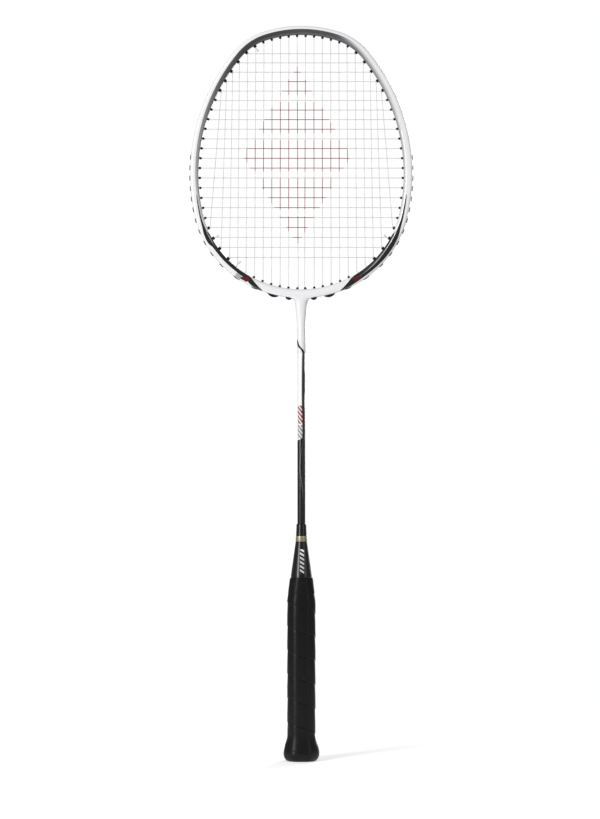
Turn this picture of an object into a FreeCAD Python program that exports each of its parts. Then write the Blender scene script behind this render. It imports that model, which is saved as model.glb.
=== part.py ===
import FreeCAD, Part
import math
import os
from FreeCAD import Vector

# A badminton racket, standing on its butt. Millimetres. Z runs up along the shaft, the string bed lies in
# the XZ plane and faces -Y and +Y, and the origin is the middle of the butt's flat end.

# ---------------------------------------------------------------- driving dimensions
OVERALL_LENGTH = 675.0

# The hoop's outer outline, right half, from the top middle down: tangent arcs (radius, degrees turned).
# A last arc closes it on the middle line.
HOOP_ARCS = [(115.0, 17.5), (58.0, 33.0), (176.0, 52.0), (95.5, 49.0)]
FRAME_WIDTH = 8.0
FRAME_DEPTH = 10.4
FRAME_WALL = 1.1
GROOVE_DEPTH = 1.7
GROOVE_FLOOR_WIDTH = 3.8
GROOVE_MOUTH_WIDTH = 4.7
OUTER_CORNER = 2.4
INNER_CORNER = 3.4
GROOVE_FLOOR_CORNER = 0.3
GROOVE_LIP_CORNER = 0.25
CAVITY_OUTER_CORNER = 1.3
CAVITY_INNER_CORNER = 1.9

STRING_DIAMETER = 0.70
STRING_GAP = 0.02
WEAVE_RADIUS = 15.0
BEND_RADIUS = 1.1
MAINS_PER_SIDE = 11
CROSSES = 22
MAIN_FIRST_X = 3.95
MAIN_PITCH_TOP = 7.8
MAIN_PITCH_BOTTOM = 8.0
CROSS_TOP_Z = 651.3
CROSS_PITCH = 8.65
CROSS_PITCH_GROWTH = 0.0195
SINGLE_MAINS_TOP = 6
SINGLE_MAINS_BOTTOM = 8
SHARED_BOTTOM_CROSSES = {9: 22, 10: 21, 11: 19}
TOP_SHARED_CROSSES = 5
MAIN_KNOT_CROSS = 20

SINGLE_BARREL = 2.2
SINGLE_BORE = 1.5
SHARED_BARREL = 3.0
SHARED_BORE = 2.1
BARREL_STANDS_IN = 1.8
FLANGE_THICKNESS = 0.7
SINGLE_FLANGE = 3.2
SHARED_FLANGE = 3.8
SHARED_OFFSET = 0.55
STRING_ABOVE_FLOOR = 1.2
THROAT_HOLE_SLANT = 24.0
STRING_CLEARS_BARREL = 0.3
DRILL_OVERRUN = 3.0
SADDLE_PROUD = 0.8
SADDLE_LENGTH = 4.4
SADDLE_WIDTH = 3.4
SADDLE_SLOT = 1.0
SADDLE_ROUNDING = 0.6
FIRST_SADDLE_CROSS = 12
FIRST_CORNER_CROSS = 19
STRIP_WIDTH = 3.6
STRIP_SLOT = 1.1
THROAT_HUMP = 2.3
CORNER_HUMP = 0.7
THROAT_STRIP_REACH = 3.2
CORNER_STRIP_REACH = 2.3
THROAT_END_SHARE = 0.3
HUMP_MARGIN = 0.012
STRIP_HOLES = 4
THROAT_STRING_RISE = 0.9
KNOT_DIAMETER = 1.6
KNOT_LENGTH = 2.2
KNOT_ROUNDING = 0.5
KNOT_DISTANCE = 2.5

SHAFT_DIAMETER = 7.2
SHAFT_BORE = 5.0
SHAFT_TOP_Z = 422.0
SHAFT_FOOT_Z = 60.0
SLEEVE_FOOT_Z = 374.5
SLEEVE_RADIUS = 3.95
SLEEVE_TAPER_Z = 404.0
SLEEVE_TOP_RADIUS = 5.9
SLEEVE_FLARE = 4.0
SLEEVE_FOOT_ROUNDING = 0.25
SLEEVE_SIDE_ROUNDING = 30.0
THROAT_GROMMET_ROOM = 0.4
T_ARM_REACH = 22.0
T_STEM_FOOT_Z = 392.0
T_CLEARANCE = 0.1
T_STEM_IN_ARMS = 1.0

CONE_TOP_Z = 217.8
CONE_OUTLINE = [(4.45, 217.8, 0.7), (5.05, 203.0, 60.0), (9.5, 171.0, 60.0), (10.7, 150.0, 0.0)]
CONE_FOOT_Z = 150.0
BAND_TOP_Z = 206.7
BAND_FOOT_Z = 201.0
BAND_SINK = 0.3
BAND_PROUD = 0.12
BAND_ROUNDING = 0.08
SPIGOT_RADIUS = 8.0
SPIGOT_TOP_Z = 168.0

GRIP_HALF_X = 13.0
GRIP_HALF_Y = 11.7
GRIP_BEVEL = 6.5
GRIP_TOP_Z = 167.5
GRIP_TAPER_Z = 147.0
GRIP_TOP_HALF = 10.5
GRIP_TOP_BEVEL = 6.15
TAPE_THICKNESS = 1.9
TAPE_FOOT_Z = 0.3
BEVEL_PER_OFFSET = 0.59
BUTT_HALF_X = 16.75
BUTT_HALF_Y = 15.2
BUTT_BEVEL = 8.6
FLARE_TOP_Z = 24.0
FLARE_WIDEST_Z = 6.5
BUTT_ROUND_IN = 4.7
BUTT_BEVEL_SHARE = 0.6
COLLAR_FOOT_Z = 146.0
COLLAR_TOP_Z = 150.0
BUTT_CAP_THICKNESS = 1.2
FINISH_TAPE_FOOT_Z = 154.0
FINISH_TAPE_THICKNESS = 0.3
STAPLE_Z = 30.0
STAPLE_WIDTH = 8.0
STAPLE_LEG = 5.0
STAPLE_WIRE = 0.8

Y_AXIS = Vector(0, 1, 0)
Z_AXIS = Vector(0, 0, 1)


# ---------------------------------------------------------------- plain geometry helpers
def corner_arc(before, corner, after, radius):
    """Where an arc of this radius leaves and joins the two runs at a corner, with its centre, axis and turn."""
    arriving = (corner - before).normalize()
    leaving = (after - corner).normalize()
    turn = arriving.getAngle(leaving)
    if radius <= 0 or turn < 1e-6:
        return None
    reach = radius * math.tan(turn / 2)
    start = corner - arriving * reach
    end = corner + leaving * reach
    axis = arriving.cross(leaving).normalize()
    centre = start + axis.cross(arriving) * radius
    return start, end, centre, axis, turn


def rounded_edges(points, radii, closed):
    """Line and arc edges along points, with each corner rounded by its radius."""
    count = len(points)
    corners = {}
    for i in range(count):
        if closed or 0 < i < count - 1:
            before = points[i - 1]
            after = points[(i + 1) % count]
            corners[i] = corner_arc(before, points[i], after, radii[i])
    edges = []
    for i in range(count if closed else count - 1):
        j = (i + 1) % count
        start = corners[i][1] if corners.get(i) else points[i]
        end = corners[j][0] if corners.get(j) else points[j]
        if (end - start).Length > 1e-6:
            edges.append(Part.LineSegment(start, end).toShape())
        if corners.get(j):
            _, arc_end, centre, axis, turn = corners[j]
            spoke = corners[j][0] - centre
            middle = centre + FreeCAD.Rotation(axis, math.degrees(turn / 2)).multVec(spoke)
            edges.append(Part.Arc(corners[j][0], middle, arc_end).toShape())
    return edges


def revolved(outline):
    """Solid of revolution about Z from (radius, z, corner radius) points, closed along the axis if need be."""
    points = [Vector(r, 0, z) for r, z, _ in outline]
    edges = rounded_edges(points, [c for _, _, c in outline], True)
    return Part.Face(Part.Wire(edges)).revolve(Vector(0, 0, 0), Z_AXIS, 360)


def cylinder(start, direction, length, diameter):
    return Part.makeCylinder(diameter / 2, length, start, direction)


def export(name, solids):
    """Write one node. Several solids make one group."""
    shape = solids[0] if len(solids) == 1 else Part.makeCompound(solids)
    for solid in solids:
        assert solid.isValid() and solid.Volume > 0, name
    shape.exportStep("parts/" + name + ".step")
    volume = sum(solid.Volume for solid in solids)
    print(name, len(solids), "solids", round(volume, 1), "mm3")


# ---------------------------------------------------------------- the hoop's outline
def hoop_outline():
    """Arcs of the right half as (centre, radius, start angle, end angle), angles from the top, clockwise."""
    arcs = []
    point = Vector(0, 0, OVERALL_LENGTH)
    angle = 0.0
    for radius, degrees in HOOP_ARCS:
        outward = Vector(math.sin(angle), 0, math.cos(angle))
        centre = point - outward * radius
        end = angle + math.radians(degrees)
        arcs.append((centre, radius, angle, end))
        point = centre + Vector(math.sin(end), 0, math.cos(end)) * radius
        angle = end
    closing = point.x / math.sin(angle)
    centre = point - Vector(math.sin(angle), 0, math.cos(angle)) * closing
    arcs.append((centre, closing, angle, math.pi))
    return arcs


ARCS = hoop_outline()
HOOP_FOOT_Z = ARCS[-1][0].z - ARCS[-1][1]


def hoop_normal(angle):
    return Vector(math.sin(angle), 0, math.cos(angle))


def hoop_point(angle, inset):
    """The point of the right half at this angle, inset from the outer outline."""
    for centre, radius, _, end in ARCS:
        if angle <= end:
            break
    return centre + hoop_normal(angle) * (radius - inset)


def angle_where(measure, low, high):
    """The angle between low and high at which measure(angle) changes sign."""
    rising = measure(high) > 0
    for _ in range(60):
        middle = (low + high) / 2
        if (measure(middle) > 0) == rising:
            high = middle
        else:
            low = middle
    return (low + high) / 2


def angle_at_x(x, top):
    span = (0.0, math.pi / 2) if top else (math.pi, math.pi / 2)
    return angle_where(lambda a: hoop_point(a, FRAME_WIDTH).x - x, *span)


def angle_at_z(z):
    return angle_where(lambda a: hoop_point(a, FRAME_WIDTH).z - z, 0.0, math.pi)


def mirrored(vector):
    return Vector(-vector.x, vector.y, vector.z)


# ---------------------------------------------------------------- string holes
class Hole:
    """A string hole: where it meets the inner face, its outward direction, and whether it is a shared one."""

    def __init__(self, angle, shared, side, slant=0.0):
        inner = hoop_point(angle, FRAME_WIDTH)
        outward = hoop_normal(angle - math.radians(slant))
        self.angle = angle
        self.shared = shared
        self.side = side
        self.inner = inner if side > 0 else mirrored(inner)
        self.outward = outward if side > 0 else mirrored(outward)
        self.stretch = 1 / math.cos(math.radians(slant))

    def at(self, depth, y=0.0):
        """The point of the hole's axis this far inside the outer outline, moved by y."""
        along = (FRAME_WIDTH - depth) * self.stretch
        return self.inner + self.outward * along + Y_AXIS * y

    def barrel(self):
        return SHARED_BARREL if self.shared else SINGLE_BARREL

    def bore(self):
        return SHARED_BORE if self.shared else SINGLE_BORE


def cross_z(number):
    n = number - 1
    return CROSS_TOP_Z - CROSS_PITCH * n - CROSS_PITCH_GROWTH * n * n


def cross_holes(side):
    """Holes of one side for crosses 1 to 22. The ones that a main or a tie-off also uses are shared."""
    shared = set(range(1, TOP_SHARED_CROSSES + 1)) | {MAIN_KNOT_CROSS} | set(SHARED_BOTTOM_CROSSES.values())
    return {n: Hole(angle_at_z(cross_z(n)), n in shared, side) for n in range(1, CROSSES + 1)}


def main_x(number, pitch):
    return MAIN_FIRST_X + pitch * (number - 1)


def main_top_holes(side, crosses):
    """Top holes of mains 1 to 11. The outer five go through the holes of the first five crosses."""
    holes = {}
    for n in range(1, MAINS_PER_SIDE + 1):
        if n <= SINGLE_MAINS_TOP:
            tie_off = side < 0 and n == SINGLE_MAINS_TOP
            holes[n] = Hole(angle_at_x(main_x(n, MAIN_PITCH_TOP), True), tie_off, side)
        else:
            holes[n] = crosses[n - SINGLE_MAINS_TOP]
    return holes


def main_bottom_holes(side, crosses):
    """Bottom holes of mains 1 to 11. The first leans out to pass beside the throat."""
    holes = {}
    for n in range(1, MAINS_PER_SIDE + 1):
        if n <= SINGLE_MAINS_BOTTOM:
            tie_off = side < 0 and n == SINGLE_MAINS_BOTTOM
            slant = THROAT_HOLE_SLANT if n == 1 else 0.0
            holes[n] = Hole(angle_at_x(main_x(n, MAIN_PITCH_BOTTOM), False), tie_off, side, slant)
        else:
            holes[n] = crosses[SHARED_BOTTOM_CROSSES[n]]
    return holes


CROSS_HOLES = {side: cross_holes(side) for side in (-1, 1)}
TOP_HOLES = {side: main_top_holes(side, CROSS_HOLES[side]) for side in (-1, 1)}
BOTTOM_HOLES = {side: main_bottom_holes(side, CROSS_HOLES[side]) for side in (-1, 1)}


def all_holes():
    found = []
    for side in (-1, 1):
        found += list(CROSS_HOLES[side].values())
        found += [TOP_HOLES[side][n] for n in range(1, SINGLE_MAINS_TOP + 1)]
        found += [BOTTOM_HOLES[side][n] for n in range(1, SINGLE_MAINS_BOTTOM + 1)]
    return found


def drill(hole, diameter):
    """A rod through the whole frame along the hole's axis."""
    start = hole.at(FRAME_WIDTH + DRILL_OVERRUN)
    end = hole.at(-DRILL_OVERRUN)
    return cylinder(start, hole.outward, (end - start).Length, diameter)


# ---------------------------------------------------------------- head frame
def frame_section():
    """Outer section of the hoop as (inset, y, corner radius), with the string groove."""
    half = FRAME_DEPTH / 2
    mouth = GROOVE_MOUTH_WIDTH / 2
    floor = GROOVE_FLOOR_WIDTH / 2
    side = [
        (GROOVE_DEPTH, floor, GROOVE_FLOOR_CORNER),
        (0.0, mouth, GROOVE_LIP_CORNER),
        (0.0, half, OUTER_CORNER),
        (FRAME_WIDTH, half, INNER_CORNER),
    ]
    return side + [(inset, -y, radius) for inset, y, radius in reversed(side)]


def cavity_section(clearance=0.0):
    """Section of the hoop's hollow as (inset, y, corner radius)."""
    low = GROOVE_DEPTH + FRAME_WALL + clearance
    high = FRAME_WIDTH - FRAME_WALL - clearance
    half = FRAME_DEPTH / 2 - FRAME_WALL - clearance
    outer_corner = CAVITY_OUTER_CORNER - clearance
    inner_corner = CAVITY_INNER_CORNER - clearance
    return [
        (low, half, outer_corner),
        (high, half, inner_corner),
        (high, -half, inner_corner),
        (low, -half, outer_corner),
    ]


def swept_section(section, centre, radius, start, end):
    """The section revolved about an arc's centre between two angles from the top."""
    points = [Vector(centre.x, y, centre.z + radius - inset) for inset, y, _ in section]
    face = Part.Face(Part.Wire(rounded_edges(points, [c for _, _, c in section], True)))
    face.rotate(centre, Y_AXIS, math.degrees(start))
    return face.revolve(centre, Y_AXIS, math.degrees(end - start))


def hoop_solid(section):
    """The section all the way round the hoop."""
    top, bottom = ARCS[0], ARCS[-1]
    pieces = [
        swept_section(section, top[0], top[1], -top[3], top[3]),
        swept_section(section, bottom[0], bottom[1], bottom[2], 2 * math.pi - bottom[2]),
    ]
    for centre, radius, start, end in ARCS[1:-1]:
        right = swept_section(section, centre, radius, start, end)
        pieces += [right, right.mirror(Vector(0, 0, 0), Vector(1, 0, 0))]
    return pieces[0].fuse(pieces[1:]).removeSplitter()


def make_head_frame():
    frame = hoop_solid(frame_section()).cut(hoop_solid(cavity_section()))
    rods = [drill(hole, hole.barrel()) for hole in all_holes()]
    middle_z = HOOP_FOOT_Z + FRAME_WIDTH / 2
    stem_hole = cylinder(Vector(0, 0, SHAFT_TOP_Z), Z_AXIS, middle_z - SHAFT_TOP_Z, SHAFT_BORE)
    frame = frame.cut(rods + [stem_hole])
    return max(frame.Solids, key=lambda s: s.Volume)


# ---------------------------------------------------------------- grommets
def barrel_of(hole):
    """The tube that lines a hole, from inside the head to the groove's floor."""
    start = hole.at(FRAME_WIDTH + BARREL_STANDS_IN)
    length = (hole.at(GROOVE_DEPTH) - start).Length
    return cylinder(start, hole.outward, length, hole.barrel())


def bore_of(hole):
    return drill(hole, hole.bore())


def grommet(hole):
    """A plain grommet: a barrel with a round flange on the groove's floor."""
    flange = cylinder(
        hole.at(GROOVE_DEPTH), hole.outward, FLANGE_THICKNESS, SHARED_FLANGE if hole.shared else SINGLE_FLANGE
    )
    return barrel_of(hole).fuse(flange).cut(bore_of(hole)).removeSplitter().Solids[0]


def saddle_grommet(hole):
    """A grommet whose flange stands out of the groove, with a slot along the groove for the string."""
    height = GROOVE_DEPTH + SADDLE_PROUD
    half = SADDLE_LENGTH / 2
    saddle = Part.makeBox(SADDLE_LENGTH, SADDLE_WIDTH, height, Vector(-half, -SADDLE_WIDTH / 2, 0))
    rim = [e for e in saddle.Edges if abs(e.CenterOfMass.z - height) < 1e-6]
    saddle = saddle.makeFillet(SADDLE_ROUNDING, rim)
    room = SADDLE_SLOT + (2 * SHARED_OFFSET if hole.shared else 0)
    slot_corner = Vector(-SADDLE_LENGTH, -room / 2, FLANGE_THICKNESS)
    saddle = saddle.cut(Part.makeBox(2 * SADDLE_LENGTH, room, height, slot_corner))
    turn = FreeCAD.Rotation(Z_AXIS, hole.outward)
    saddle.Placement = FreeCAD.Placement(hole.at(GROOVE_DEPTH), turn)
    return barrel_of(hole).fuse(saddle).cut(bore_of(hole)).removeSplitter().Solids[0]


def groove_band(first, last, side, low, high, width):
    """A band that fills the groove between two angles and two insets."""
    section = [(high, width / 2, 0), (low, width / 2, 0), (low, -width / 2, 0), (high, -width / 2, 0)]
    centre, radius, _, _ = ARCS[-1]
    band = swept_section(section, centre, radius, first, last)
    return band if side > 0 else band.mirror(Vector(0, 0, 0), Vector(1, 0, 0))


def hump(first, last, side, height):
    """The wave-shaped hump over the string's loop between two holes."""
    start = hoop_point(first + HUMP_MARGIN, GROOVE_DEPTH - FLANGE_THICKNESS)
    end = hoop_point(last - HUMP_MARGIN, GROOVE_DEPTH - FLANGE_THICKNESS)
    crest = hoop_point((first + last) / 2, -height)
    half = Y_AXIS * (STRIP_WIDTH / 2)
    edges = [Part.Arc(start, crest, end).toShape(), Part.LineSegment(end, start).toShape()]
    face = Part.Face(Part.Wire(edges))
    face.translate(-half)
    solid = face.extrude(half * 2)
    return solid if side > 0 else solid.mirror(Vector(0, 0, 0), Vector(1, 0, 0))


def outer_angle(hole):
    """The bottom arc's angle where the hole's axis comes out, as if on the right."""
    out = hole.at(0.0)
    centre = ARCS[-1][0]
    return math.atan2(abs(out.x) - centre.x, out.z - centre.z)


def grommet_strip(side, first, height, reach):
    """One moulding for four mains' bottom holes: a base in the groove, four barrels and two humps."""
    holes = [BOTTOM_HOLES[side][n] for n in range(first, first + STRIP_HOLES)]
    angles = [outer_angle(hole) for hole in holes]
    beyond = reach / ARCS[-1][1]
    beside_throat = beyond * THROAT_END_SHARE if first == 1 else beyond
    low = GROOVE_DEPTH - FLANGE_THICKNESS
    strip = groove_band(angles[-1] - beyond, angles[0] + beside_throat, side, low, GROOVE_DEPTH, STRIP_WIDTH)
    near_hump = hump(angles[1] - beyond, angles[0] + beside_throat, side, height)
    far_hump = hump(angles[3] - beyond, angles[2] + beyond, side, height)
    strip = strip.fuse([barrel_of(hole) for hole in holes] + [near_hump, far_hump])
    slot_top = -2 * height
    slot = groove_band(angles[-1] - 2 * beyond, angles[0] + 2 * beyond, side, slot_top, low, STRIP_SLOT)
    strip = strip.cut([slot] + [bore_of(hole) for hole in holes]).removeSplitter()
    return max(strip.Solids, key=lambda s: s.Volume)


# ---------------------------------------------------------------- strings
class StringRoute:
    """Points of a string with a corner radius each."""

    def __init__(self):
        self.points = []
        self.radii = []

    def add(self, point, radius):
        self.points.append(point)
        self.radii.append(radius)


def weave_height(pitch):
    """How far a crossing's corner stands off the bed, so that its rounded top lies half a string off."""
    top = (STRING_DIAMETER + STRING_GAP) / 2
    corner = top
    for _ in range(20):
        slope = math.atan(2 * corner / pitch)
        corner = top + WEAVE_RADIUS * (1 / math.cos(slope) - 1)
    return corner


def main_line(side, number):
    """The main's two bends, at the inner ends of its top and bottom grommets."""
    depth = FRAME_WIDTH + BARREL_STANDS_IN + STRING_CLEARS_BARREL
    top = TOP_HOLES[side][number]
    bottom = BOTTOM_HOLES[side][number]
    return top.at(depth, main_offset(top)), bottom.at(depth, main_offset(bottom))


def main_offset(hole):
    return SHARED_OFFSET if hole.shared else 0.0


def cross_offset(hole):
    return -SHARED_OFFSET if hole.shared else 0.0


def cross_line(number):
    depth = FRAME_WIDTH + BARREL_STANDS_IN + STRING_CLEARS_BARREL
    left = CROSS_HOLES[-1][number]
    right = CROSS_HOLES[1][number]
    return left.at(depth, cross_offset(left)), right.at(depth, cross_offset(right))


def crosses_of_main(number):
    """The crosses that a main passes, which leaves out the two whose holes it uses."""
    first = number - SINGLE_MAINS_TOP + 1 if number > SINGLE_MAINS_TOP else 1
    last = SHARED_BOTTOM_CROSSES.get(number, CROSSES + 1) - 1
    return range(first, last + 1)


def column(side, number):
    """Mains counted from left to right, 0 to 21."""
    return MAINS_PER_SIDE + number - 1 if side > 0 else MAINS_PER_SIDE - number


def crossing(side, main, cross):
    """Where a main meets a cross, on the bed's middle plane, and whether the main passes in front."""
    top, bottom = main_line(side, main)
    left, right = cross_line(cross)
    z = (left.z + right.z) / 2
    share = (top.z - z) / (top.z - bottom.z)
    x = top.x + (bottom.x - top.x) * share
    in_front = (column(side, main) + cross) % 2 == 0
    return Vector(x, 0, z), in_front


def main_run(side, number):
    """The woven run of one main, from top to bottom."""
    top, bottom = main_line(side, number)
    height = weave_height(CROSS_PITCH)
    points = [(top, BEND_RADIUS)]
    for cross in crosses_of_main(number):
        point, in_front = crossing(side, number, cross)
        points.append((point + Y_AXIS * (-height if in_front else height), WEAVE_RADIUS))
    points.append((bottom, BEND_RADIUS))
    return points


def cross_run(number):
    """The woven run of one cross, from left to right."""
    left, right = cross_line(number)
    height = weave_height(MAIN_PITCH_TOP)
    points = [(left, BEND_RADIUS)]
    for side, numbers in ((-1, range(MAINS_PER_SIDE, 0, -1)), (1, range(1, MAINS_PER_SIDE + 1))):
        for main in numbers:
            if number in crosses_of_main(main):
                point, in_front = crossing(side, main, number)
                points.append((point + Y_AXIS * (height if in_front else -height), WEAVE_RADIUS))
    points.append((right, BEND_RADIUS))
    return points


def groove_point(hole, y, rise=0.0):
    return hole.at(GROOVE_DEPTH - STRING_ABOVE_FLOOR - rise, y), BEND_RADIUS


def tie_off(hole, y):
    """From the groove back in through a hole, to the knot."""
    return [groove_point(hole, y), (hole.at(FRAME_WIDTH + BARREL_STANDS_IN + KNOT_DISTANCE, y), 0)]


def half_of_mains(side):
    """One side's mains from the middle of the head's top, ending at the knot."""
    points = []
    for number in range(1, MAINS_PER_SIDE + 1):
        downward = number % 2 == 1
        run = main_run(side, number)
        top = TOP_HOLES[side][number]
        bottom = BOTTOM_HOLES[side][number]
        rise = THROAT_STRING_RISE if number <= STRIP_HOLES else 0.0
        enter = groove_point(top, main_offset(top))
        leave = groove_point(bottom, main_offset(bottom), rise)
        if downward:
            points += [enter] + run + [leave]
        else:
            points += [leave] + run[::-1] + [enter]
    return points + tie_off(CROSS_HOLES[side][MAIN_KNOT_CROSS], SHARED_OFFSET)


def main_route():
    """Left knot, left mains, the loop over the middle of the top, right mains, right knot."""
    return half_of_mains(-1)[::-1] + half_of_mains(1)


def cross_route():
    """The crosses from the first to the last, turning in the groove at each end."""
    points = tie_off(TOP_HOLES[-1][SINGLE_MAINS_TOP], -SHARED_OFFSET)[::-1]
    for number in range(1, CROSSES + 1):
        run = cross_run(number)
        left = CROSS_HOLES[-1][number]
        right = CROSS_HOLES[1][number]
        ends = [groove_point(left, cross_offset(left)), groove_point(right, cross_offset(right))]
        whole = [ends[0]] + run + [ends[1]]
        points += whole if number % 2 == 1 else whole[::-1]
    return points + tie_off(BOTTOM_HOLES[-1][SINGLE_MAINS_BOTTOM], -SHARED_OFFSET)


def knot(end, outward):
    """A small barrel-shaped knot on the string's end."""
    swell = KNOT_DIAMETER / 2
    outline = [
        (0.0, 0.0, 0.0),
        (swell, 0.0, KNOT_ROUNDING),
        (swell, KNOT_LENGTH, KNOT_ROUNDING),
        (0.0, KNOT_LENGTH, 0.0),
    ]
    solid = revolved(outline)
    solid.Placement = FreeCAD.Placement(end, FreeCAD.Rotation(Z_AXIS, outward))
    return solid


def tube(route):
    """A round string along straight runs and tangent arcs, with a knot at each end, and the string's length."""
    points = [p for p, _ in route]
    path = Part.Wire(rounded_edges(points, [r for _, r in route], False))
    heading = (points[1] - points[0]).normalize()
    section = Part.Wire(Part.Circle(points[0], heading, STRING_DIAMETER / 2).toShape())
    string = path.makePipeShell([section], True, False)
    knots = [knot(points[0], -heading), knot(points[-1], (points[-1] - points[-2]).normalize())]
    return string.fuse(knots).Solids[0], path.Length


# ---------------------------------------------------------------- throat and shaft
def make_throat_sleeve(frame, strips):
    """The tapered sleeve around the shaft's top, which spreads out against the hoop."""
    wide = SLEEVE_TOP_RADIUS + SLEEVE_FLARE
    top = HOOP_FOOT_Z + GROOVE_DEPTH
    outline = [
        (0.0, SLEEVE_FOOT_Z, 0.0),
        (SLEEVE_RADIUS, SLEEVE_FOOT_Z, SLEEVE_FOOT_ROUNDING),
        (SLEEVE_RADIUS, SLEEVE_TAPER_Z, SLEEVE_SIDE_ROUNDING),
        (SLEEVE_TOP_RADIUS, HOOP_FOOT_Z, SLEEVE_FLARE),
        (wide, HOOP_FOOT_Z, 0.0),
        (wide, top, 0.0),
        (0.0, top, 0.0),
    ]
    deep = FRAME_DEPTH / 2
    slab = Part.makeBox(4 * wide, 2 * deep, top, Vector(-2 * wide, -deep, 0))
    sleeve = revolved(outline).common(slab)
    for side in (-1, 1):
        lean = BOTTOM_HOLES[side][1]
        room = SINGLE_FLANGE + THROAT_GROMMET_ROOM
        sleeve = sleeve.cut(cylinder(lean.at(FRAME_WIDTH / 2), lean.outward, FRAME_DEPTH, room))
    shaft_seat = cylinder(Vector(0, 0, 0), Z_AXIS, SHAFT_TOP_Z, SHAFT_DIAMETER)
    stem_seat = cylinder(Vector(0, 0, 0), Z_AXIS, OVERALL_LENGTH, SHAFT_BORE)
    sleeve = sleeve.cut([frame, shaft_seat, stem_seat] + strips)
    return max(sleeve.Solids, key=lambda s: s.Volume)


def make_shaft():
    length = SHAFT_TOP_Z - SHAFT_FOOT_Z
    foot = Vector(0, 0, SHAFT_FOOT_Z)
    outer = cylinder(foot, Z_AXIS, length, SHAFT_DIAMETER)
    return outer.cut(cylinder(foot, Z_AXIS, length, SHAFT_BORE))


def make_t_joint():
    """Arms inside the hoop's hollow and a stem down into the shaft."""
    centre, radius, _, _ = ARCS[-1]
    reach = T_ARM_REACH / radius
    arms = swept_section(cavity_section(T_CLEARANCE), centre, radius, math.pi - reach, math.pi + reach)
    stem_top = HOOP_FOOT_Z + GROOVE_DEPTH + FRAME_WALL + T_STEM_IN_ARMS
    stem = cylinder(Vector(0, 0, T_STEM_FOOT_Z), Z_AXIS, stem_top - T_STEM_FOOT_Z, SHAFT_BORE)
    rods = [drill(BOTTOM_HOLES[side][n], SINGLE_BARREL) for side in (-1, 1) for n in (1, 2, 3)]
    joint = arms.fuse(stem).cut(rods)
    return max(joint.Solids, key=lambda s: s.Volume)


# ---------------------------------------------------------------- handle
def octagon(z, half_x, half_y, bevel):
    corners = [
        (half_x, half_y - bevel),
        (half_x - bevel, half_y),
        (bevel - half_x, half_y),
        (-half_x, half_y - bevel),
        (-half_x, bevel - half_y),
        (bevel - half_x, -half_y),
        (half_x - bevel, -half_y),
        (half_x, bevel - half_y),
    ]
    points = [Vector(x, y, z) for x, y in corners]
    return Part.makePolygon(points + points[:1])


def grip_half_sizes(z):
    """Half width, half depth and bevel of the grip's outside at this height."""
    if z >= GRIP_TAPER_Z:
        share = (z - GRIP_TAPER_Z) / (GRIP_TOP_Z - GRIP_TAPER_Z)
        sizes = (GRIP_HALF_X, GRIP_HALF_Y, GRIP_BEVEL)
        top = (GRIP_TOP_HALF, GRIP_TOP_HALF, GRIP_TOP_BEVEL)
        return [a + (b - a) * share for a, b in zip(sizes, top)]
    share = min(1.0, max(0.0, (FLARE_TOP_Z - z) / (FLARE_TOP_Z - FLARE_WIDEST_Z)))
    swell = (1 - math.cos(math.pi * share)) / 2
    pairs = [(GRIP_HALF_X, BUTT_HALF_X), (GRIP_HALF_Y, BUTT_HALF_Y), (GRIP_BEVEL, BUTT_BEVEL)]
    sizes = [a + (b - a) * swell for a, b in pairs]
    if z < FLARE_WIDEST_Z:
        drop = (FLARE_WIDEST_Z - z) / FLARE_WIDEST_Z
        pull = BUTT_ROUND_IN * (1 - math.sqrt(1 - drop * drop))
        sizes = [sizes[0] - pull, sizes[1] - pull, sizes[2] - pull * BUTT_BEVEL_SHARE]
    return sizes


BUTT_ROUNDING_HEIGHTS = [TAPE_FOOT_Z, BUTT_CAP_THICKNESS, 2.6, 4.4, FLARE_WIDEST_Z]
BUTT_HEIGHTS = BUTT_ROUNDING_HEIGHTS + [9.0, 12.0, 15.5, 19.0, 21.5, FLARE_TOP_Z]


def handle_loft(heights, thinner):
    """The octagonal handle through these heights, thinner all round by a covering's thickness."""
    wires = []
    for z in heights:
        half_x, half_y, bevel = grip_half_sizes(z)
        wires.append(octagon(z, half_x - thinner, half_y - thinner, bevel - BEVEL_PER_OFFSET * thinner))
    return Part.makeLoft(wires, True, True)


def cone_outer():
    return revolved([(0.0, CONE_TOP_Z, 0.0)] + CONE_OUTLINE + [(0.0, CONE_FOOT_Z, 0.0)])


def make_handle_cone(band):
    low_bore = cylinder(Vector(0, 0, CONE_FOOT_Z), Z_AXIS, SPIGOT_TOP_Z - CONE_FOOT_Z, 2 * SPIGOT_RADIUS)
    shaft_bore = cylinder(Vector(0, 0, CONE_FOOT_Z), Z_AXIS, CONE_TOP_Z, SHAFT_DIAMETER)
    return cone_outer().cut([low_bore, shaft_bore, band])


def cone_radius(z):
    """The cone's radius on its nearly straight upper outline, above the swelling part."""
    top, middle, low = CONE_OUTLINE[0], CONE_OUTLINE[1], CONE_OUTLINE[2]
    first, last = (top, middle) if z > middle[1] else (middle, low)
    return first[0] + (last[0] - first[0]) * (first[1] - z) / (first[1] - last[1])


def make_cone_band():
    """A thin ring let into the cone and a little proud of it."""
    above = cone_radius(BAND_TOP_Z)
    below = cone_radius(BAND_FOOT_Z)
    outline = [
        (above - BAND_SINK, BAND_TOP_Z, 0.0),
        (above + BAND_PROUD, BAND_TOP_Z, BAND_ROUNDING),
        (below + BAND_PROUD, BAND_FOOT_Z, BAND_ROUNDING),
        (below - BAND_SINK, BAND_FOOT_Z, 0.0),
    ]
    return revolved(outline)


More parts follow.
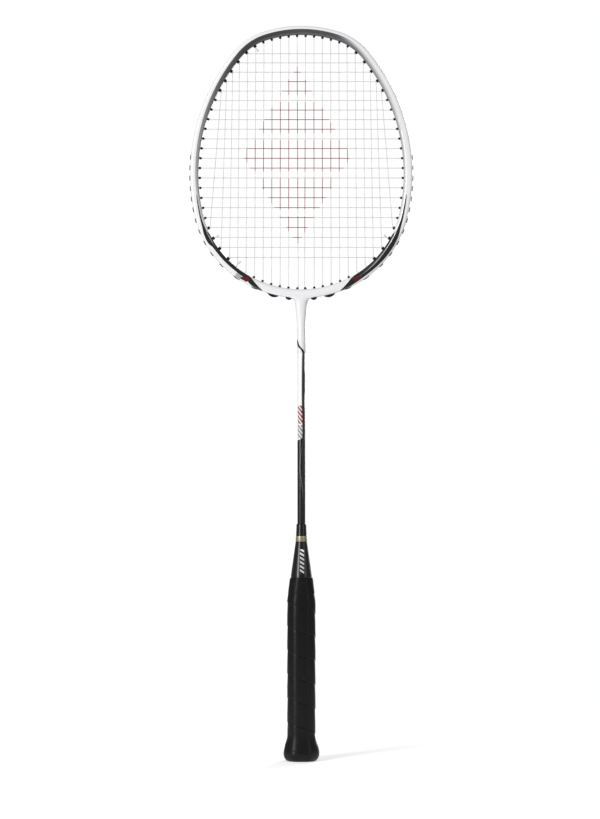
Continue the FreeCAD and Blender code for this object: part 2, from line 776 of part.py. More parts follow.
def make_staple():
    """A wire staple in the handle's front flat, its crown level with the wood."""
    face_y = -(GRIP_HALF_Y - TAPE_THICKNESS)
    crown_y = face_y + STAPLE_WIRE / 2
    half = STAPLE_WIDTH / 2
    points = [
        Vector(-half, face_y + STAPLE_LEG, STAPLE_Z),
        Vector(-half, crown_y, STAPLE_Z),
        Vector(half, crown_y, STAPLE_Z),
        Vector(half, face_y + STAPLE_LEG, STAPLE_Z),
    ]
    path = Part.Wire(rounded_edges(points, [0, STAPLE_WIRE, STAPLE_WIRE, 0], False))
    section = Part.Wire(Part.Circle(points[0], Y_AXIS, STAPLE_WIRE / 2).toShape())
    return path.makePipeShell([section], True, False)


def collar():
    """The round end of the wood's octagonal part, under the cone's foot."""
    diameter = 2 * (GRIP_HALF_Y - TAPE_THICKNESS)
    return cylinder(Vector(0, 0, COLLAR_FOOT_Z), Z_AXIS, COLLAR_TOP_Z - COLLAR_FOOT_Z, diameter)


def make_handle_core(staple):
    """Octagonal wood with a flared butt, a round spigot inside the cone and a blind bore for the shaft."""
    heights = [h for h in BUTT_HEIGHTS if h >= BUTT_CAP_THICKNESS]
    body = handle_loft(heights + [GRIP_TAPER_Z], TAPE_THICKNESS)
    foot = Vector(0, 0, COLLAR_FOOT_Z)
    neck = cylinder(foot, Z_AXIS, SPIGOT_TOP_Z - COLLAR_FOOT_Z, 2 * SPIGOT_RADIUS)
    bore = cylinder(Vector(0, 0, SHAFT_FOOT_Z), Z_AXIS, SPIGOT_TOP_Z, SHAFT_DIAMETER)
    core = body.fuse([neck, collar()]).cut([bore, staple])
    return max(core.Solids, key=lambda s: s.Volume)


def make_grip_wrap():
    """The covering over the wood and the cone's foot."""
    outer = handle_loft(BUTT_HEIGHTS + [GRIP_TAPER_Z, FINISH_TAPE_FOOT_Z, GRIP_TOP_Z], 0.0)
    inside = handle_loft(BUTT_HEIGHTS + [GRIP_TAPER_Z], TAPE_THICKNESS)
    wrap = outer.cut([inside, cone_outer(), collar()])
    return max(wrap.Solids, key=lambda s: s.Volume)


def make_finish_tape():
    """A thin tape round the wrap's top end."""
    heights = [FINISH_TAPE_FOOT_Z, GRIP_TOP_Z]
    return handle_loft(heights, -FINISH_TAPE_THICKNESS).cut(handle_loft(heights, 0.0))


def make_butt_cap():
    """The flat cap on the wood's end, inside the wrap's rolled edge."""
    half_x, half_y, bevel = grip_half_sizes(TAPE_FOOT_Z)
    thin = TAPE_THICKNESS
    outline = octagon(0.0, half_x - thin, half_y - thin, bevel - BEVEL_PER_OFFSET * thin)
    return Part.Face(outline).extrude(Z_AXIS * BUTT_CAP_THICKNESS)


# ---------------------------------------------------------------- write every node
def main():
    frame = make_head_frame()
    export("head_frame", [frame])

    strips = []
    for side, word in ((-1, "left"), (1, "right")):
        crosses = CROSS_HOLES[side]
        shoulder = range(1, TOP_SHARED_CROSSES + 1)
        upper = range(TOP_SHARED_CROSSES + 1, FIRST_SADDLE_CROSS)
        lower = range(FIRST_SADDLE_CROSS, FIRST_CORNER_CROSS)
        corner = range(FIRST_CORNER_CROSS, CROSSES + 1)
        export("grommets_shoulder_" + word, [grommet(crosses[n]) for n in shoulder])
        export("grommets_side_" + word, [grommet(crosses[n]) for n in upper])
        export("grommets_lower_" + word, [saddle_grommet(crosses[n]) for n in lower])
        export("grommets_corner_" + word, [saddle_grommet(crosses[n]) for n in corner])
        throat_strip = grommet_strip(side, 1, THROAT_HUMP, THROAT_STRIP_REACH)
        corner_strip = grommet_strip(side, 1 + STRIP_HOLES, CORNER_HUMP, CORNER_STRIP_REACH)
        export("throat_strip_" + word, [throat_strip])
        export("corner_strip_" + word, [corner_strip])
        strips.append(throat_strip)
    top = [TOP_HOLES[side][n] for side in (-1, 1) for n in range(1, SINGLE_MAINS_TOP + 1)]
    export("grommets_top", [grommet(hole) for hole in top])

    for name, route in (("main_string", main_route()), ("cross_string", cross_route())):
        solid, length = tube(route)
        export(name, [solid])
        print("  length", round(length, 1))

    export("throat_sleeve", [make_throat_sleeve(frame, strips)])
    export("shaft", [make_shaft()])
    export("t_joint", [make_t_joint()])

    band = make_cone_band()
    export("cone_band", [band])
    export("handle_cone", [make_handle_cone(band)])
    staple = make_staple()
    export("butt_staple", [staple])
    export("handle_core", [make_handle_core(staple)])
    export("grip_wrap", [make_grip_wrap()])
    export("grip_finish_tape", [make_finish_tape()])
    export("butt_cap", [make_butt_cap()])


main()
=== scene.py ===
import bmesh
import bpy
import math
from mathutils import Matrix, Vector


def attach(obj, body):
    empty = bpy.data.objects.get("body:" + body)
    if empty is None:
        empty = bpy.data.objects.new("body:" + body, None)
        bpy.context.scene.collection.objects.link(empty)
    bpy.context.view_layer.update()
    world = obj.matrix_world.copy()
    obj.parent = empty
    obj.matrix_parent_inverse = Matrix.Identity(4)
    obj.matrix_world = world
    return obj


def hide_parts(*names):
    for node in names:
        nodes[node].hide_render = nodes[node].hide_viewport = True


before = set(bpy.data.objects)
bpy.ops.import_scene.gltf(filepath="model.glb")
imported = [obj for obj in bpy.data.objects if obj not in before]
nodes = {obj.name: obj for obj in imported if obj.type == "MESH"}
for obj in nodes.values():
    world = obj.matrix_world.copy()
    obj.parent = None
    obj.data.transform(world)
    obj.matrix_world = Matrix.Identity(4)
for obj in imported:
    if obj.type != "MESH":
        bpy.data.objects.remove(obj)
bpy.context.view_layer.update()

MM = 0.001

# ---------------------------------------------------------------- sizes shared with the CAD model, in mm
LENGTH = 675.0
HOOP_ARCS = [(115.0, 17.5), (58.0, 33.0), (176.0, 52.0), (95.5, 49.0)]
FRAME_WIDTH = 8.0
FRAME_DEPTH = 10.4
GROOVE_DEPTH = 1.7
GROOVE_FLOOR = 1.9
GROOVE_MOUTH = 2.35
OUTER_CORNER = 2.4
INNER_CORNER = 3.4

SHAFT_RADIUS = 3.6
SHAFT_BORE = 2.5
SHAFT_FOOT = 60.0
SHAFT_TOP = 422.0
SLEEVE_FOOT = 374.5
SLEEVE_RADIUS = 3.95

CONE_TOP = 217.8
CONE_FOOT = 150.0
CONE_SHOULDER = 168.0
SPIGOT_RADIUS = 8.0
BAND_TOP = 206.7
BAND_FOOT = 201.0

GRIP_TOP = 167.5
GRIP_TAPER = 147.0
GRIP_HALF = (13.0, 11.7, 6.5)
GRIP_TOP_HALF = (10.5, 10.5, 6.15)
BUTT_HALF = (16.75, 15.2, 8.6)
FLARE_TOP = 24.0
FLARE_WIDEST = 6.5
BUTT_ROUND_IN = 4.7
BUTT_BEVEL_SHARE = 0.6
GRIP_FOOT = 0.3
FINISH_FOOT = 154.0

# The wrap starts one turn below WRAP_START, which is the height of a turn's lower edge at the front.
WRAP_PITCH = 22.0
WRAP_STEP = 0.5
WRAP_START = 9.0
WRAP_TURNS = 10


def srgb(red, green, blue):
    """A colour given as 0-255 screen values, in the linear values that shaders use."""
    def linear(value):
        value = value / 255
        return value / 12.92 if value <= 0.04045 else ((value + 0.055) / 1.055) ** 2.4
    return (linear(red), linear(green), linear(blue), 1.0)


# ---------------------------------------------------------------- material building
class Shader:
    """A node material on one Principled shader, with short calls for the nodes used here."""

    def __init__(self, name, **values):
        self.material = bpy.data.materials.new(name)
        self.material.use_nodes = True
        self.tree = self.material.node_tree
        self.tree.nodes.clear()
        self.surface = self.tree.nodes.new("ShaderNodeBsdfPrincipled")
        output = self.tree.nodes.new("ShaderNodeOutputMaterial")
        self.tree.links.new(self.surface.outputs[0], output.inputs[0])
        for socket, value in values.items():
            self.put(self.surface.inputs[socket.replace("_", " ")], value)
        coordinates = self.tree.nodes.new("ShaderNodeTexCoord")
        self.place = coordinates.outputs["Object"]
        split = self.tree.nodes.new("ShaderNodeSeparateXYZ")
        self.tree.links.new(self.place, split.inputs[0])
        self.x, self.y, self.z = [self.times(axis, 1 / MM) for axis in split.outputs]

    def put(self, socket, value):
        """Sets a socket to a value, or links another node's output to it."""
        if isinstance(value, bpy.types.NodeSocket):
            self.tree.links.new(value, socket)
        else:
            socket.default_value = value

    def math(self, operation, first, second=None, clamp=False):
        """The result of a Math node; each input is a number or another node's output."""
        node = self.tree.nodes.new("ShaderNodeMath")
        node.operation = operation
        node.use_clamp = clamp
        for socket, value in zip(node.inputs, (first, second)):
            if value is not None:
                self.put(socket, value)
        return node.outputs[0]

    def times(self, first, *others):
        """The product of two or more values."""
        for value in others:
            first = self.math("MULTIPLY", first, value)
        return first

    def plus(self, first, second):
        return self.math("ADD", first, second)

    def minus(self, first, second):
        return self.math("SUBTRACT", first, second)

    def mix(self, factor, first, second):
        """The first colour where the factor is 0, the second where it is 1."""
        node = self.tree.nodes.new("ShaderNodeMix")
        node.data_type = "RGBA"
        self.put(node.inputs["Factor"], factor)
        self.put(node.inputs[6], first)
        self.put(node.inputs[7], second)
        return node.outputs[2]

    def rise(self, value, low, high, start=0.0, end=1.0):
        """Smooth step of value from start at low to end at high."""
        node = self.tree.nodes.new("ShaderNodeMapRange")
        node.interpolation_type = "SMOOTHSTEP"
        self.put(node.inputs["Value"], value)
        self.put(node.inputs["From Min"], low)
        self.put(node.inputs["From Max"], high)
        self.put(node.inputs["To Min"], start)
        self.put(node.inputs["To Max"], end)
        return node.outputs[0]

    def inside(self, value, low, high, soft=0.12):
        """1 where value is between low and high, with soft edges."""
        over = self.rise(self.minus(value, low), -soft, soft)
        under = self.rise(self.minus(high, value), -soft, soft)
        return self.times(over, under)

    def curve(self, value, points, span, height=10.0):
        """A drawn curve: points are (value, result), span is the range of value, height the largest result."""
        node = self.tree.nodes.new("ShaderNodeFloatCurve")
        low, high = span
        share = self.math("DIVIDE", self.minus(value, low), high - low, clamp=True)
        self.put(node.inputs["Value"], share)
        track = node.mapping.curves[0]
        shares = [((at - low) / (high - low), result / height) for at, result in points]
        track.points[0].location = shares[0]
        track.points[1].location = shares[-1]
        for place in shares[1:-1]:
            track.points.new(*place)
        node.mapping.update()
        return self.times(node.outputs[0], height)

    def noise(self, scale, detail=2.0, stretch=(1.0, 1.0, 1.0)):
        """Cloudy noise from 0 to 1, finer for a larger scale and squeezed along each axis by its stretch."""
        mapping = self.tree.nodes.new("ShaderNodeMapping")
        mapping.inputs["Scale"].default_value = stretch
        self.put(mapping.inputs["Vector"], self.place)
        node = self.tree.nodes.new("ShaderNodeTexNoise")
        node.inputs["Scale"].default_value = scale
        node.inputs["Detail"].default_value = detail
        node.inputs["Roughness"].default_value = 0.5
        self.put(node.inputs["Vector"], mapping.outputs[0])
        return node.outputs[0]

    def voronoi(self, scale):
        """Small cells: the distance from each cell's middle."""
        node = self.tree.nodes.new("ShaderNodeTexVoronoi")
        node.inputs["Scale"].default_value = scale
        self.put(node.inputs["Vector"], self.place)
        return node.outputs["Distance"]

    def attribute(self, name):
        """A value that the mesh keeps for each of its points."""
        node = self.tree.nodes.new("ShaderNodeAttribute")
        node.attribute_name = name
        return node.outputs["Fac"]

    def bump(self, height, strength, distance):
        """Tilts the surface's shading by a height; the distance is in metres."""
        node = self.tree.nodes.new("ShaderNodeBump")
        node.inputs["Strength"].default_value = strength
        node.inputs["Distance"].default_value = distance
        self.put(node.inputs["Height"], height)
        self.put(self.surface.inputs["Normal"], node.outputs[0])

    def color(self, value):
        self.put(self.surface.inputs["Base Color"], value)

    def roughness(self, value):
        self.put(self.surface.inputs["Roughness"], value)


def lacquer(shader, low, high):
    """A gloss coat whose roughness varies a little, with a faint orange-peel surface."""
    speckle = shader.noise(70.0, 3.0)
    shader.roughness(shader.rise(speckle, 0.3, 0.7, low, high))
    shader.bump(shader.noise(260.0, 2.0), 0.02, 0.0002)


# ---------------------------------------------------------------- paint of the head
WHITE = srgb(236, 236, 238)
SMOKE = srgb(54, 54, 58)
MID_GREY = srgb(150, 150, 154)
BLACK = srgb(16, 16, 17)
MAROON = srgb(84, 8, 22)


def head_paint():
    """White lacquer with a smoke-grey inner stripe, black strokes on the lower sides and maroon accents; the
    stripe is grey paint with painted shade in it, darker on the left and graded on the right.

    The strokes are drawn over two values: the fall, in degrees from the top of the head, and the inset, in mm
    from its outside.
    """
    shader = Shader("head_lacquer", Coat_Weight=0.6, Coat_Roughness=0.06)
    fall = shader.attribute("fall")
    inset = shader.attribute("inset")
    right = shader.rise(shader.x, -0.5, 0.5)
    left = shader.minus(1.0, right)

    stripe_edge = shader.curve(fall, [(0, 3.0), (20, 3.1), (50, 3.6), (86, 4.6), (112, 5.2)], (0, 112))
    stripe = shader.rise(shader.minus(inset, stripe_edge), -0.15, 0.25)
    # Painted shade: the stripe is painted darker and further down on the left, where it turns away from the key
    # light, than on the right.
    left_stripe_paint_and_shade = shader.curve(
        fall,
        [(0, 9.8), (54, 9.6), (68, 8.2), (86, 6.4), (100, 4.4), (113, 0.0)],
        (0, 113),
    )
    right_stripe_paint_and_shade = shader.curve(
        fall,
        [(0, 9.8), (18, 9.6), (34, 8.8), (54, 7.4), (86, 5.4), (113, 0.0)],
        (0, 113),
    )
    # Painted shade: on the right, below the top, the stripe is graded from light at its outer edge to dark at
    # its inner edge.
    depth = shader.math("MULTIPLY", shader.minus(inset, stripe_edge), 0.3, clamp=True)
    fade = shader.rise(fall, 14.0, 44.0)
    soft = shader.plus(shader.times(depth, fade), shader.minus(1.0, fade))
    amount_right = shader.times(right_stripe_paint_and_shade, soft, right)
    amount_left = shader.times(left_stripe_paint_and_shade, left)
    amount = shader.times(shader.plus(amount_left, amount_right), 0.1)
    flake = shader.noise(2600.0, 2.0)
    smoke = shader.mix(shader.rise(flake, 0.45, 0.75, 0.0, 0.12), SMOKE, MID_GREY)
    paint = shader.mix(shader.times(stripe, amount), WHITE, smoke)

    span = (96, 161)
    low = shader.curve(
        fall,
        [(96, 4.5), (103, 4.2), (110, 3.6), (115, 2.4), (119, 2.2), (124, 4.0), (134, 4.3), (144, 4.3),
         (149, 3.8), (153, 1.4), (157, 0.0), (161, 0.0)],
        span,
    )
    high = shader.curve(
        fall,
        [(96, 4.5), (98, 5.1), (106, 5.5), (113, 6.2), (117, 8.0), (126, 8.6), (146, 8.6), (151, 7.4),
         (155, 4.6), (158, 2.2), (161, 0.0)],
        span,
    )
    low_right = shader.curve(
        fall,
        [(96, 4.2), (103, 3.8), (110, 3.2), (116, 1.9), (124, 1.5), (134, 1.7), (144, 1.9), (150, 1.4),
         (154, 0.6), (157, 0.0), (161, 0.0)],
        span,
    )
    black_left = shader.times(shader.inside(inset, low, high), left)
    black_right = shader.times(shader.inside(inset, low_right, high), right)
    span_mask = shader.inside(fall, 96.5, 160.0, 0.6)
    black = shader.times(shader.plus(black_left, black_right), span_mask)

    slit_middle = shader.curve(fall, [(112, 5.4), (120, 6.0), (132, 5.3), (142, 4.8), (150, 4.2)], (112, 150))
    slit_half = shader.curve(
        fall,
        [(112, 0.0), (118, 0.4), (126, 0.1), (134, 0.4), (146, 0.1), (150, 0.0)],
        (112, 150),
    )
    from_slit = shader.math("ABSOLUTE", shader.minus(inset, slit_middle))
    slit = shader.rise(shader.minus(slit_half, from_slit), -0.2, 0.25)
    slit = shader.times(slit, shader.inside(fall, 112.0, 150.0, 1.0))
    slit_left = shader.times(slit, left, shader.rise(fall, 124.0, 119.0))
    slit_right = shader.times(slit, right)
    slits = shader.times(shader.plus(slit_left, slit_right), 0.8)

    slope = shader.times(inset, 0.35)
    wedge = shader.inside(shader.minus(fall, slope), 146.0, 150.4, 0.4)
    maroon_left = shader.times(wedge, left, shader.inside(inset, 1.4, 5.6, 0.4))
    maroon_right = shader.times(wedge, right, shader.inside(inset, 2.8, 5.8, 0.5))
    haze = shader.times(shader.inside(fall, 143.5, 147.2, 0.8), shader.inside(inset, 0.2, 5.0, 0.6), left)
    haze = shader.times(haze, 0.85)

    paint = shader.mix(haze, paint, MID_GREY)
    paint = shader.mix(black, paint, BLACK)
    paint = shader.mix(slits, paint, srgb(172, 172, 176))
    maroon = shader.math("ADD", maroon_left, maroon_right, clamp=True)
    paint = shader.mix(maroon, paint, MAROON)

    scuffs = shader.rise(shader.noise(140.0, 5.0), 0.62, 0.72)
    wear = shader.times(scuffs, shader.rise(inset, 0.5, 0.1))
    paint = shader.mix(shader.times(wear, 0.35), paint, srgb(186, 184, 180))
    shader.color(paint)
    lacquer(shader, 0.16, 0.28)
    return shader.material


def sleeve_paint():
    """The head's white lacquer on the sleeve, with the upper end of the shaft's black stroke."""
    shader = Shader("sleeve_lacquer", Coat_Weight=0.6, Coat_Roughness=0.06)
    cloud = shader.noise(60.0, 3.0)
    paint = shader.mix(shader.rise(cloud, 0.35, 0.7), WHITE, srgb(230, 230, 233))
    offset = shader.plus(shader.x, 4.0)
    span = (374, 388)
    left_edge = shader.curve(
        shader.z,
        [(374, 5.0), (376, 4.4), (378, 3.3), (379.6, 1.5), (382, 0.5), (388, 0.0)],
        span,
    )
    right_edge = shader.curve(
        shader.z,
        [(374, 7.0), (377, 6.2), (379.6, 3.9), (382, 2.2), (385, 1.2), (388, 0.3)],
        span,
    )
    streak = shader.times(
        shader.inside(offset, left_edge, right_edge, 0.14),
        shader.rise(shader.z, 388.0, 386.5),
        shader.rise(shader.y, 0.6, -0.2),
    )
    paint = shader.mix(streak, paint, BLACK)
    shader.color(paint)
    lacquer(shader, 0.16, 0.26)
    return shader.material


def shaft_paint():
    """White at the top, with a black stroke and barred marks in front, then black with a fine grey line."""
    shader = Shader("shaft_lacquer", Coat_Weight=0.35, Coat_Roughness=0.22, Specular_IOR_Level=0.35)
    turn = shader.math("ARCTAN2", shader.x, shader.times(shader.y, -1.0))
    across = shader.times(turn, SHAFT_RADIUS)
    z = shader.z

    span = (286, 392)
    widest = 16.0
    left_edge = shader.curve(
        z,
        [(286, 0.0), (293, 0.2), (297, 7.2), (312, 7.4), (326, 7.0), (345, 6.9), (366, 7.1), (371, 7.2),
         (376, 7.6), (392, 7.6)],
        span, widest,
    )
    right_edge = shader.curve(
        z,
        [(286, 16.0), (304, 15.6), (312, 11.4), (322, 10.2), (334, 9.6), (343, 11.4), (352, 12.0), (358, 9.7),
         (368, 9.5), (374, 9.7), (392, 9.7)],
        span, widest,
    )
    offset = shader.plus(across, 6.5)
    stroke = shader.inside(offset, left_edge, right_edge, 0.14)
    low = shader.rise(z, 291.5, 290.5)
    black = shader.math("MAXIMUM", stroke, low)

    front = shader.inside(across, -3.6, 1.4, 0.2)
    hatch = shader.plus(shader.times(z, 0.24), shader.times(across, 0.30))
    hatch = shader.math("FRACT", hatch)
    bars = shader.inside(hatch, 0.3, 0.72, 0.06)
    red_zone = shader.times(shader.inside(z, 309.5, 326.5, 0.4), front)
    grey_zone = shader.times(shader.inside(z, 296.0, 308.5, 0.5), front)
    faint_zone = shader.times(shader.inside(z, 331.0, 375.0, 1.0), shader.inside(across, -2.8, -0.2, 0.2))
    faint_bars = shader.times(faint_zone, bars, 0.45)

    body = shader.mix(faint_bars, WHITE, srgb(196, 196, 198))
    body = shader.mix(grey_zone, body, shader.mix(bars, srgb(120, 120, 122), srgb(214, 214, 216)))
    body = shader.mix(red_zone, body, shader.mix(bars, srgb(112, 34, 48), srgb(244, 214, 218)))
    paint = shader.mix(black, body, srgb(7, 7, 8))

    sway = shader.times(shader.math("SINE", shader.times(z, 0.11)), 1.5)
    line = shader.math("ABSOLUTE", shader.minus(across, sway))
    strokes = shader.times(shader.rise(line, 0.7, 0.15), shader.inside(z, 244.0, 286.0, 8.0))
    paint = shader.mix(shader.times(strokes, 0.55), paint, srgb(108, 108, 112))
    shader.color(paint)
    lacquer(shader, 0.28, 0.36)
    return shader.material


# ---------------------------------------------------------------- other materials
def string_nylon():
    """White braided nylon, with a dark red stencil on the bed: a lozenge cut into level bands."""
    shader = Shader("string_nylon", Coat_Weight=0.2, Coat_Roughness=0.2)
    middle_x, middle_z = -4.0, 556.0
    half_wide, half_tall = 50.0, 82.0
    band = 17.5
    bed_half_depth = 1.2
    across = shader.math("ABSOLUTE", shader.plus(shader.x, -middle_x))
    up = shader.minus(shader.z, middle_z)
    reach = shader.times(shader.math("ABSOLUTE", up), 1.0 / half_tall)
    reach = shader.plus(reach, shader.times(across, 1.0 / half_wide))
    lozenge = shader.rise(reach, 1.01, 0.99)
    bands = shader.math("PINGPONG", shader.plus(up, band), band)
    on_bed = shader.rise(shader.math("ABSOLUTE", shader.y), bed_half_depth, 1.0)
    stencil = shader.times(lozenge, shader.rise(bands, 3.0, 3.4), on_bed)
    ink = shader.mix(shader.rise(shader.noise(1500.0, 2.0), 0.3, 0.7), srgb(118, 10, 30), srgb(142, 30, 48))
    cloud = shader.noise(30.0, 2.0)
    nylon = shader.mix(shader.rise(cloud, 0.3, 0.7), srgb(206, 206, 206), srgb(218, 218, 216))
    shader.color(shader.mix(shader.times(stencil, 0.95), nylon, ink))
    shader.roughness(shader.rise(shader.noise(2200.0, 2.0), 0.3, 0.7, 0.34, 0.5))
    shader.bump(shader.noise(2800.0, 2.0, (1.0, 1.0, 0.4)), 0.25, 0.0001)
    return shader.material


def moulded(name, dark, light, low, high, grain=1400.0):
    """Moulded plastic: a little cloudy, finely grained, with a slight sheen on rubbed spots."""
    shader = Shader(name, Specular_IOR_Level=0.2)
    cloud = shader.noise(180.0, 4.0)
    shader.color(shader.mix(shader.rise(cloud, 0.3, 0.75), dark, light))
    shader.roughness(shader.rise(shader.noise(320.0, 3.0), 0.3, 0.7, low, high))
    shader.bump(shader.noise(grain, 3.0), 0.2, 0.0001)
    return shader.material


def cone_plastic():
    """Glossy black plastic with a column of slanted bars on the front, grey at their foot and white at their
    top.
    """
    shader = Shader("cone_plastic", Specular_IOR_Level=0.3, Coat_Weight=0.25, Coat_Roughness=0.12)
    middle = 0.6
    column = shader.inside(shader.minus(shader.x, middle), -1.9, 1.9, 0.12)
    hatch = shader.plus(shader.times(shader.z, 0.26), shader.times(shader.x, 0.16))
    bars = shader.inside(shader.math("FRACT", hatch), 0.22, 0.72, 0.04)
    zone = shader.inside(shader.z, 172.5, 194.5, 0.2)
    front = shader.rise(shader.y, 0.0, -0.4)
    mark = shader.times(column, bars, zone, front)
    # The bars go from grey below a height of 184 mm to white above 196 mm.
    white = shader.mix(shader.rise(shader.z, 184.0, 196.0), srgb(186, 186, 186), srgb(236, 236, 236))
    base = shader.mix(shader.rise(shader.noise(90.0, 4.0), 0.35, 0.7), srgb(5, 5, 6), srgb(11, 11, 12))
    shader.color(shader.mix(mark, base, white))
    shader.roughness(shader.rise(shader.noise(60.0, 4.0), 0.35, 0.7, 0.3, 0.36))
    shader.bump(shader.noise(220.0, 2.0), 0.02, 0.0002)
    return shader.material


def band_metal():
    """Champagne metallic band, finely brushed around the cone."""
    shader = Shader("band_metal", Metallic=0.55, Specular_IOR_Level=0.4)
    brushed = shader.noise(900.0, 3.0, (0.15, 0.15, 6.0))
    shader.color(shader.mix(shader.rise(brushed, 0.3, 0.7), srgb(128, 122, 98), srgb(166, 160, 134)))
    shader.roughness(shader.rise(brushed, 0.3, 0.7, 0.28, 0.42))
    shader.bump(brushed, 0.15, 0.0001)
    return shader.material


def grip_polyurethane():
    """Tacky black polyurethane: pebbled, creased along the turns, a little shinier where it is rubbed, with
    painted shade darkening the lapped edges of the turns.
    """
    shader = Shader("grip_polyurethane", Specular_IOR_Level=0.2)
    rubbed = shader.noise(28.0, 4.0)
    pebble = shader.voronoi(1500.0)
    lap_painted_shade = shader.attribute("lap_painted_shade")
    base = shader.mix(shader.rise(rubbed, 0.35, 0.7), srgb(7, 7, 8), srgb(14, 14, 15))
    # Painted shade: the colour goes almost black along the lapped edges, where one turn overlaps the next.
    base = shader.mix(shader.times(lap_painted_shade, 0.8), base, srgb(1, 1, 1))
    shader.color(base)
    shader.roughness(shader.rise(rubbed, 0.3, 0.7, 0.44, 0.33))
    crease = shader.noise(160.0, 5.0, (1.0, 1.0, 2.6))
    height = shader.plus(shader.times(pebble, 0.35), shader.times(crease, 0.65))
    shader.bump(height, 0.35, 0.0004)
    return shader.material


def tape_vinyl():
    """Black vinyl tape, finely streaked around the handle."""
    shader = Shader("tape_vinyl", Specular_IOR_Level=0.18)
    streak = shader.noise(240.0, 4.0, (0.4, 0.4, 3.0))
    shader.color(shader.mix(shader.rise(streak, 0.3, 0.7), srgb(8, 8, 9), srgb(15, 15, 16)))
    shader.roughness(shader.rise(streak, 0.3, 0.7, 0.36, 0.5))
    shader.bump(streak, 0.2, 0.0003)
    return shader.material


def wood_grain():
    """Pale wood with its grain along the handle."""
    shader = Shader("wood_grain")
    grain = shader.noise(70.0, 6.0, (3.0, 3.0, 0.12))
    shader.color(shader.mix(shader.rise(grain, 0.3, 0.7), srgb(168, 130, 88), srgb(206, 172, 126)))
    shader.roughness(shader.rise(grain, 0.3, 0.7, 0.5, 0.7))
    shader.bump(grain, 0.3, 0.0003)
    return shader.material


def drawn_steel():
    """Bare steel wire with fine lengthwise streaks."""
    shader = Shader("drawn_steel", Metallic=1.0)
    streak = shader.noise(1200.0, 3.0, (6.0, 0.2, 0.2))
    shader.color(shader.mix(shader.rise(streak, 0.3, 0.7), srgb(150, 150, 152), srgb(196, 196, 198)))
    shader.roughness(shader.rise(streak, 0.3, 0.7, 0.25, 0.42))
    shader.bump(streak, 0.1, 0.0001)
    return shader.material


# ---------------------------------------------------------------- mesh building
def rounded(corners, closed=True, steps=6):
    """Points of an outline given as (u, v, corner radius)."""
    points = []
    count = len(corners)
    for i, (u, v, radius) in enumerate(corners):
        here = Vector((u, v))
        if radius <= 0 or not (closed or 0 < i < count - 1):
            points.append(here)
            continue
        to_last = (Vector(corners[i - 1][:2]) - here).normalized()
        to_next = (Vector(corners[(i + 1) % count][:2]) - here).normalized()
        half = to_last.angle(to_next) / 2
        reach = radius / math.tan(half)
        centre = here + (to_last + to_next).normalized() * radius / math.sin(half)
        start = here + to_last * reach - centre
        end = here + to_next * reach - centre
        turn = start.angle_signed(end)
        for step in range(steps + 1):
            angle = -turn * step / steps
            spin = Vector((start.x * math.cos(angle) - start.y * math.sin(angle),
                           start.x * math.sin(angle) + start.y * math.cos(angle)))
            points.append(centre + spin)
    return points


def add_object(name, data):
    """A new object in the scene."""
    thing = bpy.data.objects.new(name, data)
    bpy.context.scene.collection.objects.link(thing)
    return thing


def add_values(mesh, name, values):
    """Keeps one number for each point of a mesh, which a material can read."""
    mesh.attributes.new(name, "FLOAT", "POINT").data.foreach_set("value", values)


def make_mesh(name, points, faces, material, sharp):
    """A piece from points in mm, smooth but for edges sharper than an angle, riding on the racket's body."""
    mesh = bpy.data.meshes.new(name)
    mesh.from_pydata([Vector(point) * MM for point in points], [], faces)
    mesh.validate()
    mesh.polygons.foreach_set("use_smooth", [True] * len(mesh.polygons))
    mesh.set_sharp_from_angle(angle=sharp)
    mesh.materials.append(material)
    piece = add_object(name, mesh)
    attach(piece, "root")
    return piece


def ring_faces(rings, around, closed_rings=False):
    """Quads between successive rings of equal size, and from the last ring to the first if they close."""
    faces = []
    last = rings if closed_rings else rings - 1
    for ring in range(last):
        upper = (ring + 1) % rings
        for i in range(around):
            j = (i + 1) % around
            faces.append((ring * around + i, ring * around + j, upper * around + j, upper * around + i))
    return faces


def lathe(name, profile, material):
    """A solid of revolution about the racket's axis from a closed (radius, z) profile."""
    around = 96
    points = []
    for radius, z in profile:
        for i in range(around):
            angle = 2 * math.pi * i / around
            points.append((radius * math.sin(angle), -radius * math.cos(angle), z))
    faces = [tuple(reversed(face)) for face in ring_faces(len(profile), around, True)]
    return make_mesh(name, points, faces, material, 0.5)


# ---------------------------------------------------------------- head
def hoop_arcs():
    """Arcs of the right half as (centre x, centre z, radius, end angle), angles from the top."""
    arcs = []
    x, z, angle = 0.0, LENGTH, 0.0
    for radius, degrees in HOOP_ARCS:
        centre = (x - radius * math.sin(angle), z - radius * math.cos(angle))
        angle += math.radians(degrees)
        arcs.append((centre[0], centre[1], radius, angle))
        x = centre[0] + radius * math.sin(angle)
        z = centre[1] + radius * math.cos(angle)
    closing = x / math.sin(angle)
    arcs.append((0.0, z - closing * math.cos(angle), closing, math.pi))
    return arcs


def hoop_point(arcs, angle, inset):
    """The point this far inside the hoop's outline at an angle from the top, negative on the left."""
    slack = 1e-9
    for centre_x, centre_z, radius, end in arcs:
        if abs(angle) <= end + slack:
            break
    x = centre_x + (radius - inset) * math.sin(abs(angle))
    z = centre_z + (radius - inset) * math.cos(abs(angle))
    return (math.copysign(x, angle), z)


